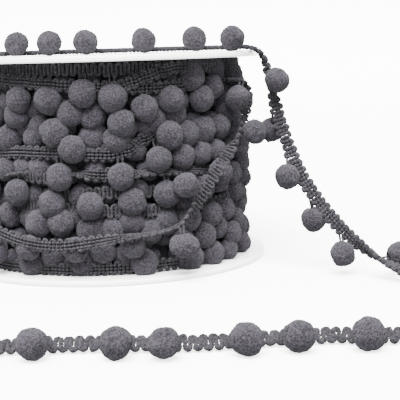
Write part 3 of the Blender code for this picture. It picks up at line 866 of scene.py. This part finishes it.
# Turns of braid that show: angle, height, outer radius, and how far the braid is rolled over: with
# 0 its chains face out and its pompom edge is down, with 180 its bars face out
BRAID_TURNS = (
    (
        (-60, 0.0860, 0.0600, 180), (0, 0.0858, 0.0600, 180), (50, 0.0860, 0.0594, 180),
        (72, 0.0858, 0.0600, 180), (83, 0.0856, 0.0604, 180), (102, 0.0860, 0.0604, 180),
        (120, 0.0862, 0.0602, 180), (150, 0.0862, 0.0600, 180), (210, 0.0862, 0.0600, 180),
        (250, 0.0860, 0.0600, 180),
    ),
    (
        (-60, 0.0815, 0.0600, 0), (0, 0.0805, 0.0594, 0), (40, 0.0785, 0.0594, 0),
        (68, 0.0779, 0.0606, 0), (80, 0.0779, 0.0612, 0), (91, 0.0790, 0.0614, 0),
        (100, 0.0799, 0.0615, 0), (109, 0.0807, 0.0615, 0), (120, 0.0816, 0.0614, 0),
        (131, 0.0824, 0.0614, 0), (170, 0.0820, 0.0614, 0), (220, 0.0805, 0.0614, 0),
        (260, 0.0815, 0.0610, 0),
    ),
    (
        (-60, 0.0852, 0.0574, 0), (40, 0.0854, 0.0590, 0), (57, 0.0855, 0.0612, 0),
        (64, 0.0846, 0.0620, 0), (70, 0.0826, 0.0623, 0), (76, 0.0804, 0.0623, 0),
        (82, 0.0784, 0.0618, 0), (92, 0.0764, 0.0586, 0), (105, 0.0750, 0.0565, 0),
        (180, 0.0780, 0.0565, 0),
    ),
    (
        (-60, 0.0525, 0.0606, 0), (-20, 0.0515, 0.0596, 0), (30, 0.0535, 0.0582, 0),
        (48, 0.0570, 0.0568, 0), (62, 0.0605, 0.0568, 0), (71, 0.0570, 0.0586, 0),
        (78, 0.0528, 0.0602, 0), (85, 0.0517, 0.0606, 0), (93, 0.0521, 0.0608, 0),
        (104, 0.0529, 0.0614, 0), (122, 0.0532, 0.0614, 0), (133, 0.0527, 0.0614, 0),
        (180, 0.0530, 0.0612, 0), (230, 0.0545, 0.0612, 0), (260, 0.0535, 0.0612, 0),
    ),
    (
        (-60, 0.0430, 0.0608, 0), (0, 0.0420, 0.0604, 0), (40, 0.0425, 0.0604, 0),
        (50, 0.0430, 0.0606, 60), (70, 0.0434, 0.0606, 80), (80, 0.0436, 0.0606, 30),
        (87, 0.0438, 0.0610, 0), (92, 0.0439, 0.0610, 25), (97, 0.0441, 0.0606, 80),
        (104, 0.0436, 0.0606, 150), (111, 0.0429, 0.0610, 180), (117, 0.0431, 0.0610, 165),
        (125, 0.0436, 0.0606, 100), (134, 0.0420, 0.0604, 75), (150, 0.0420, 0.0608, 0),
        (220, 0.0440, 0.0610, 0),
    ),
    (
        (-60, 0.0330, 0.0580, 180), (20, 0.0340, 0.0580, 180), (76, 0.0358, 0.0590, 180),
        (84, 0.0363, 0.0602, 180), (94, 0.0360, 0.0600, 180), (101, 0.0356, 0.0588, 180),
        (110, 0.0352, 0.0576, 180), (180, 0.0340, 0.0580, 180),
    ),
    (
        (-50, 0.0300, 0.0604, 180), (0, 0.0290, 0.0604, 180), (53, 0.0282, 0.0606, 180),
        (70, 0.0283, 0.0608, 180), (86, 0.0288, 0.0606, 180), (94, 0.0292, 0.0586, 180),
        (120, 0.0305, 0.0578, 180), (170, 0.0310, 0.0604, 180), (220, 0.0285, 0.0608, 180),
        (260, 0.0290, 0.0608, 180),
    ),
    (
        (-40, 0.0054, 0.0604, 0), (30, 0.0053, 0.0604, 0), (63, 0.0053, 0.0606, 0),
        (86, 0.0054, 0.0606, 0), (108, 0.0053, 0.0606, 0), (150, 0.0054, 0.0604, 0),
        (200, 0.0055, 0.0604, 0), (260, 0.0055, 0.0604, 0),
    ),
)

# Rings of pompoms elsewhere: height, angle of the first, how many, stray in height, centre radius
POMPOM_RINGS = (
    (0.0825, 8.5, 16, 0.0014, 0.0586),
    (0.0750, 83.0, 30, 0.0018, 0.0600),
    (0.0672, 90.0, 30, 0.0016, 0.0592),
    (0.0606, 93.5, 30, 0.0013, 0.0594),
    (0.0472, 65.5, 24, 0.0015, 0.0596),
    (0.0400, 81.5, 10, 0.0020, 0.0590),
    (0.0356, 93.0, 24, 0.0018, 0.0602),
    (0.0225, 94.0, 32, 0.0020, 0.0594),
    (0.0130, 89.0, 20, 0.0020, 0.0592),
    (0.0068, 97.5, 16, 0.0008, 0.0600),
)

# Pompoms that show in front: angle, height, centre radius
FRONT_FROM = -6.0
FRONT_TO = 136.0
FRONT_POMPOMS = (
    (32, 0.0840, 0.0606), (49, 0.0815, 0.0590), (10, 0.0805, 0.0578), (38, 0.0770, 0.0606),
    (94, 0.0765, 0.0608), (83, 0.0745, 0.0610), (121, 0.0745, 0.0606), (108, 0.0740, 0.0606),
    (60, 0.0730, 0.0610), (45, 0.0725, 0.0604), (71, 0.0700, 0.0608), (3, 0.0695, 0.0618),
    (100, 0.0685, 0.0586), (124, 0.0680, 0.0586), (91, 0.0670, 0.0564), (57, 0.0665, 0.0562),
    (66, 0.0650, 0.0560), (80, 0.0645, 0.0608), (106, 0.0610, 0.0606), (34, 0.0600, 0.0604),
    (43, 0.0595, 0.0588), (129, 0.0585, 0.0586), (23, 0.0585, 0.0591), (52, 0.0585, 0.0588),
    (117, 0.0585, 0.0558), (61, 0.0585, 0.0608), (92, 0.0585, 0.0556), (82, 0.0575, 0.0580),
    (99, 0.0545, 0.0614), (37, 0.0500, 0.0606), (45, 0.0500, 0.0586), (55, 0.0490, 0.0596),
    (66, 0.0490, 0.0610), (114, 0.0470, 0.0566), (122, 0.0470, 0.0566), (131, 0.0460, 0.0586),
    (17, 0.0455, 0.0613), (104, 0.0435, 0.0618), (81, 0.0430, 0.0618), (2, 0.0415, 0.0597),
    (124, 0.0365, 0.0606), (2, 0.0350, 0.0601), (63, 0.0345, 0.0606), (77, 0.0325, 0.0608),
    (108, 0.0325, 0.0608), (22, 0.0320, 0.0595), (93, 0.0315, 0.0608), (2, 0.0280, 0.0580),
    (132, 0.0265, 0.0570), (77, 0.0240, 0.0580), (105, 0.0245, 0.0600), (30, 0.0240, 0.0591),
    (41, 0.0235, 0.0600), (115, 0.0235, 0.0594), (63, 0.0230, 0.0588), (8, 0.0220, 0.0580),
    (94, 0.0210, 0.0580), (84, 0.0210, 0.0576), (70, 0.0195, 0.0580), (21, 0.0185, 0.0599),
    (45, 0.0150, 0.0596), (28, 0.0135, 0.0613), (89, 0.0125, 0.0576), (2, 0.0125, 0.0589),
    (110, 0.0110, 0.0576), (80, 0.0100, 0.0596), (73, 0.0070, 0.0606), (41, 0.0070, 0.0604),
    (53, 0.0070, 0.0606), (98, 0.0070, 0.0608), (30, 0.0070, 0.0605), (119, 0.0070, 0.0606),
    (2, 0.0070, 0.0583), (22, 0.0800, 0.0607), (-3, 0.0795, 0.0578), (14, 0.0755, 0.0578),
    (26, 0.0725, 0.0585), (15, 0.0665, 0.0568), (27, 0.0655, 0.0587), (5, 0.0615, 0.0568),
    (14, 0.0565, 0.0568), (-3, 0.0535, 0.0609), (27, 0.0495, 0.0587), (8, 0.0490, 0.0597),
    (-2, 0.0460, 0.0581), (25, 0.0395, 0.0607), (12, 0.0380, 0.0599), (35, 0.0370, 0.0598),
    (45, 0.0355, 0.0592), (12, 0.0300, 0.0580), (54, 0.0325, 0.0592), (13, 0.0140, 0.0589),
    (36, 0.0170, 0.0592), (56, 0.0150, 0.0590), (14, 0.0070, 0.0607), (53, 0.0235, 0.0598),
)


def round_place(angle, radius, height):
    """The point at this angle round the reel, this far out from its axis and this high."""
    return Vector((radius * cos(radians(angle)), -radius * sin(radians(angle)), height))


def pressing_balls():
    """The loose lengths near the winding, as balls that its pompoms give way to."""
    near_run = smooth_run(FREE_END[:FREE_ROWS_NEAR])
    near_hung = hung_pompoms(near_run, FREE_END_FIRST_POMPOM, FREE_END_AIMS[:1])
    balls = []
    for run, hung in ((loose_run, loose_hung), (near_run, near_hung)):
        for place, _, edge in run[::PRESSING_STATIONS_KEPT]:
            for share in PRESSING_PLACES:
                across = edge * share * BRAID_WIDTH
                balls.append((place + across, BRAID_WIDTH * PRESSING_BALL))
        for _, centre, _ in hung:
            balls.append((centre, POMPOM_RADIUS))
    return balls


def drawn_in(angle, height, radius, size, balls):
    """How far out a pompom can sit without reaching into a loose length."""
    while radius > DEEPEST:
        centre = round_place(angle, radius, height)
        if all((centre - place).length > size * DEPTH_LEFT + other for place, other in balls):
            break
        radius -= GIVE_STEP
    return radius


def crowded(angle, height, radius, seed, balls, fullness=1.0):
    """Centre of a pompom on the winding, direction of its stem, and its radius."""
    size = POMPOM_RADIUS * (fullness + SIZE_STRAY * scatter(seed + 0.13))
    centre = round_place(angle, drawn_in(angle, height, radius, size, balls), height)
    outward = round_place(angle, 1.0, 0.0)
    sideways = outward.cross((0.0, 0.0, 1.0))
    stem = Vector((0.0, 0.0, 1.0)) - outward * STEM_TILT_IN
    stem += sideways * STEM_TILT_ASIDE * scatter(seed + 0.8)
    return centre, stem, size


def ring_pompoms(ring, row, balls, whole=False):
    """The pompoms of a ring, but for those in front, which have places of their own."""
    height, first, count, stray, radius = row
    placed = []
    for k in range(count):
        seed = ring * SEEDS_A_RING + k
        angle = first + k * 360.0 / count + ANGLE_STRAY * scatter(seed)
        if not whole and FRONT_FROM < (angle - FRONT_FROM) % 360.0 + FRONT_FROM < FRONT_TO:
            continue
        up = height + stray * scatter(seed + 0.37)
        out = radius + OUT_STRAY * scatter(seed + 0.71)
        placed.append(crowded(angle, up, out, seed, balls))
    return placed


def heart_of_winding():
    """The mass of inner turns: a thick ring with a dented side, and room for the core."""
    deselect_all()
    middle = (WINDING_BOTTOM + WINDING_TOP) / 2
    tall = WINDING_TOP - WINDING_BOTTOM
    bpy.ops.mesh.primitive_cylinder_add(
        vertices=HEART_SIDES,
        radius=HEART_RADIUS,
        depth=tall,
        location=(0.0, 0.0, middle),
    )
    drum = bpy.context.object
    drum.name = "inner_turns"
    bpy.ops.object.transform_apply(location=True, rotation=True, scale=True)
    bpy.ops.object.mode_set(mode="EDIT")
    bpy.ops.mesh.select_mode(type="EDGE")
    bpy.ops.mesh.select_all(action="DESELECT")
    bpy.ops.object.mode_set(mode="OBJECT")
    # Only the upright edges are cut
    for edge in drum.data.edges:
        a, b = (drum.data.vertices[i].co for i in edge.vertices)
        edge.select = abs(a.z - b.z) > tall / 2
    bpy.ops.object.mode_set(mode="EDIT")
    bpy.ops.mesh.subdivide(number_cuts=HEART_CUTS)
    bpy.ops.object.mode_set(mode="OBJECT")
    dents = bpy.data.textures.new("dents", "VORONOI")
    dents.noise_scale = DENT_SIZE
    dents.distance_metric = "DISTANCE"
    rough = drum.modifiers.new("dents", "DISPLACE")
    rough.texture = dents
    rough.texture_coords = "LOCAL"
    rough.direction = "NORMAL"
    rough.mid_level = 0.5
    rough.strength = -DENT_DEPTH
    bpy.ops.object.modifier_apply(modifier="dents")
    bpy.ops.mesh.primitive_cylinder_add(
        vertices=CORE_ROOM_SIDES,
        radius=CORE_ROOM,
        depth=2 * WINDING_TOP,
        location=(0.0, 0.0, middle),
    )
    core_room = bpy.context.object
    deselect_all()
    drum.select_set(True)
    bpy.context.view_layer.objects.active = drum
    hollow = drum.modifiers.new("core_room", "BOOLEAN")
    hollow.operation = "DIFFERENCE"
    hollow.object = core_room
    bpy.ops.object.modifier_apply(modifier="core_room")
    bpy.data.objects.remove(core_room, do_unlink=True)
    bpy.ops.object.shade_smooth_by_angle(angle=radians(60.0))
    return drum


def turn_at(turn, angle):
    """Height, outer radius and roll of a turn of braid at an angle, in degrees, round the reel."""
    closed = turn + ((turn[0][0] + 360.0, *turn[0][1:]),)
    here = (angle - turn[0][0]) % 360.0 + turn[0][0]
    for first, second in zip(closed, closed[1:]):
        if here <= second[0]:
            share = (here - first[0]) / (second[0] - first[0])
            eased = share * share * (3.0 - 2.0 * share)
            return [a + (b - a) * eased for a, b in zip(first[1:], second[1:])]
    return turn[0][1:]


def wound_turn(name, turn):
    """One turn of braid round the winding."""
    rows = []
    for step in range(TURN_ROWS + 1):
        angle = -step * 360.0 / TURN_ROWS
        height, radius, roll = turn_at(turn, angle)
        outward = round_place(angle, 1.0, 0.0)
        edge = outward * sin(radians(roll)) - Vector((0.0, 0.0, 1.0)) * cos(radians(roll))
        rows.append((round_place(angle, radius - HALF_BRAID, height), edge))
    return braid(name, smooth_run(rows)[::TURN_STATIONS_KEPT], TIGHT_YARN, WOUND_ROUNDNESS)


def stems_under_turns(placed):
    """The stems of the front pompoms that hang close below a turn of braid."""
    hung = []
    for centre, _, _ in placed:
        angle = degrees(atan2(-centre.y, centre.x))
        for turn in BRAID_TURNS:
            height, radius, roll = turn_at(turn, angle)
            edge = height - BRAID_WIDTH / 2 * abs(cos(radians(roll))) + STEM_OVERLAP
            if SHORTEST_DROP < edge - centre.z < LONGEST_DROP:
                root = round_place(angle, radius, edge)
                along = round_place(angle + 90.0, 1.0, 0.0)
                hung.append((root, centre, along))
    return hung


def pressed_flat(placed):
    """Pompoms in the winding are pressed flatter towards the reel's axis."""
    return [Vector((*centre.xy, 0.0)).normalized() * DEPTH_LEFT for centre, _, _ in placed]


drum = heart_of_winding()
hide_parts("wound_trim")
balls = pressing_balls()
front_kinds = [pompom_kind(kind, FRONT_FINENESS) for kind in range(POMPOM_KINDS)]
front_placed = []
for seed, (angle, height, radius) in enumerate(FRONT_POMPOMS):
    fullness = FRONT_FULLNESS if angle > SIDE_ANGLE else 1.0
    front_placed.append(crowded(angle, height, radius, seed, balls, fullness))
ring_kinds = [pompom_kind(kind, RING_FINENESS) for kind in range(POMPOM_KINDS)]
winding_felt = [drum]
winding_felt.append(
    pompoms("wound_pompoms_front", front_kinds, front_placed, pressed_flat(front_placed))
)
for ring, row in enumerate(POMPOM_RINGS):
    placed = ring_pompoms(ring, row, balls)
    winding_felt.append(
        pompoms(f"wound_pompoms_{ring}", ring_kinds, placed, pressed_flat(placed))
    )
deep_kinds = [pompom_kind(kind, DEEP_FINENESS) for kind in range(POMPOM_KINDS)]
deep_placed = []
for ring in range(DEEP_RINGS):
    height = DEEP_LOWEST + ring * DEEP_RISE
    row = (height, ring * DEEP_TURN, DEEP_COUNT, DEEP_STRAY, DEEP_RADIUS)
    deep_placed.extend(ring_pompoms(ring + DEEP_SEED, row, balls, whole=True))
winding_felt.append(pompoms("inner_pompoms", deep_kinds, deep_placed, pressed_flat(deep_placed)))
for piece in winding_felt:
    piece.data.materials.append(grey_felt)
    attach(piece, "root")
front_legs = stem_legs(stems_under_turns(front_placed))
winding_yarn = [yarns("wound_stems", front_legs, WOUND_ROUNDNESS)]
for k, turn in enumerate(BRAID_TURNS):
    winding_yarn.append(wound_turn(f"wound_braid_{k}", turn))
for piece in winding_yarn:
    piece.data.materials.append(grey_yarn)
    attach(piece, "root")
for kind in front_kinds + ring_kinds + deep_kinds:
    bpy.data.objects.remove(kind, do_unlink=True)


# ---- The reel ---------------------------------------------------------------------------------
# Two round white plastic discs with eased rims and a spindle hole, on a moulded core that shows
# only inside the hole.

FLANGE_THICKNESS = 0.0024
FLANGE_SIDES = 192
FLANGE_ROUNDING = 0.0007
FLANGE_ROUNDING_STEPS = 3
BORE_RADIUS = 0.008
PLASTIC_DULLER = (0.79, 0.79, 0.78, 1.0)
PLASTIC_PALER = (0.83, 0.83, 0.82, 1.0)
PLASTIC_FLOW = 0.02
PLASTIC_GRAIN = 0.0006
PLASTIC_BUMP = 0.0002


def plastic_finish():
    """White moulded plastic: smooth, with a soft gloss that a faint unevenness breaks up."""
    finish, shader, place = new_finish("white_plastic")
    flow = cloud(place, PLASTIC_FLOW)
    grain = cloud(place, PLASTIC_GRAIN)
    bump = place.node(
        "ShaderNodeBump", inputs={"Height": grain, "Strength": 0.05, "Distance": PLASTIC_BUMP}
    )
    feed(
        shader,
        {
            "Base Color": blend_of(flow, PLASTIC_DULLER, PLASTIC_PALER),
            "Roughness": flow * 0.10 + 0.22,
            "Normal": bump,
        },
    )
    return finish


def flange(name, bottom, finish):
    """A disc with a spindle hole through it, and eased edges."""
    deselect_all()
    bpy.ops.mesh.primitive_cylinder_add(
        vertices=FLANGE_SIDES,
        radius=FLANGE_RADIUS,
        depth=FLANGE_THICKNESS,
        location=(0.0, 0.0, bottom + FLANGE_THICKNESS / 2),
    )
    disc = bpy.context.object
    disc.name = name + "_disc"
    bpy.ops.object.transform_apply(location=True, rotation=True, scale=True)
    bpy.ops.object.mode_set(mode="EDIT")
    bpy.ops.mesh.select_mode(type="FACE")
    bpy.ops.mesh.select_all(action="DESELECT")
    bpy.ops.object.mode_set(mode="OBJECT")
    for face in disc.data.polygons:
        face.select = abs(face.normal.z) > 0.9
    bpy.ops.object.mode_set(mode="EDIT")
    bpy.ops.mesh.inset(thickness=FLANGE_RADIUS - BORE_RADIUS)
    bpy.ops.mesh.bridge_edge_loops()
    bpy.ops.mesh.select_all(action="SELECT")
    bpy.ops.mesh.normals_make_consistent(inside=False)
    bpy.ops.object.mode_set(mode="OBJECT")
    eased = disc.modifiers.new("eased", "BEVEL")
    eased.width = FLANGE_ROUNDING
    eased.segments = FLANGE_ROUNDING_STEPS
    eased.limit_method = "ANGLE"
    eased.angle_limit = radians(50.0)
    bpy.ops.object.modifier_apply(modifier="eased")
    bpy.ops.object.shade_smooth_by_angle(angle=radians(35.0))
    disc.data.materials.append(finish)
    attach(disc, "root")
    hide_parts(name)


white_plastic = plastic_finish()
flange("reel_lower_flange", 0.0, white_plastic)
flange("reel_upper_flange", UNDER_TOP_FLANGE, white_plastic)
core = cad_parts["reel_core"]
for slot in core.material_slots:
    slot.material = white_plastic
